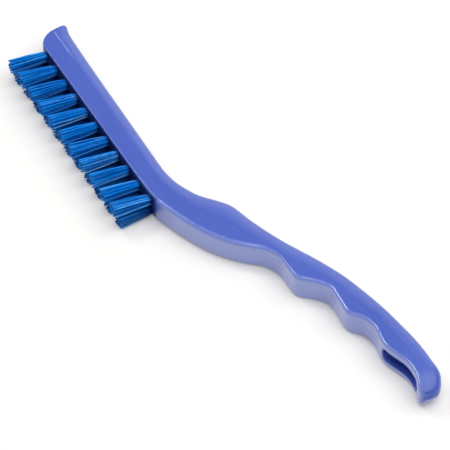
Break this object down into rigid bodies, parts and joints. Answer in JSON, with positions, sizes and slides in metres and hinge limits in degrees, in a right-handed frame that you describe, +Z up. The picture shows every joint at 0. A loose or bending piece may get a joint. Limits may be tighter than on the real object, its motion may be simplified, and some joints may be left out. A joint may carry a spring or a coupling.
{
  "type": "detailing brush",
  "caption": "One-piece detail cleaning brush with a narrow straight head, two rows of stiff bristle tufts, a swept grip with finger scallops and a hanging slot.",
  "frame": {"origin": "centre of the bounding box at its bottom, where the brush lies on its lower flank", "axes": "+X from the head's tip towards the end of the grip, bristles point along -Y, +Z up through the thickness of the handle"},
  "size_m": [0.2276, 0.0662, 0.01],
  "materials": {
    "periwinkle_plastic": "satin moulded plastic",
    "azure_filament": "drawn polyester filament",
    "bright_wire": "drawn flat wire"
  },
  "bodies": {
    "root": {"handle": "periwinkle_plastic", "tuft_upper_01": "azure_filament", "tuft_upper_02": "azure_filament", "tuft_upper_03": "azure_filament", "tuft_upper_04": "azure_filament", "tuft_upper_05": "azure_filament", "tuft_upper_06": "azure_filament", "tuft_upper_07": "azure_filament", "tuft_upper_08": "azure_filament", "tuft_upper_09": "azure_filament", "tuft_upper_10": "azure_filament", "tuft_upper_11": "azure_filament", "tuft_lower_01": "azure_filament", "tuft_lower_02": "azure_filament", "tuft_lower_03": "azure_filament", "tuft_lower_04": "azure_filament", "tuft_lower_05": "azure_filament", "tuft_lower_06": "azure_filament", "tuft_lower_07": "azure_filament", "tuft_lower_08": "azure_filament", "tuft_lower_09": "azure_filament", "tuft_lower_10": "azure_filament", "tuft_lower_11": "azure_filament", "anchor_upper_01": "bright_wire", "anchor_upper_02": "bright_wire", "anchor_upper_03": "bright_wire", "anchor_upper_04": "bright_wire", "anchor_upper_05": "bright_wire", "anchor_upper_06": "bright_wire", "anchor_upper_07": "bright_wire", "anchor_upper_08": "bright_wire", "anchor_upper_09": "bright_wire", "anchor_upper_10": "bright_wire", "anchor_upper_11": "bright_wire", "anchor_lower_01": "bright_wire", "anchor_lower_02": "bright_wire", "anchor_lower_03": "bright_wire", "anchor_lower_04": "bright_wire", "anchor_lower_05": "bright_wire", "anchor_lower_06": "bright_wire", "anchor_lower_07": "bright_wire", "anchor_lower_08": "bright_wire", "anchor_lower_09": "bright_wire", "anchor_lower_10": "bright_wire", "anchor_lower_11": "bright_wire"}
  },
  "joints": []
}
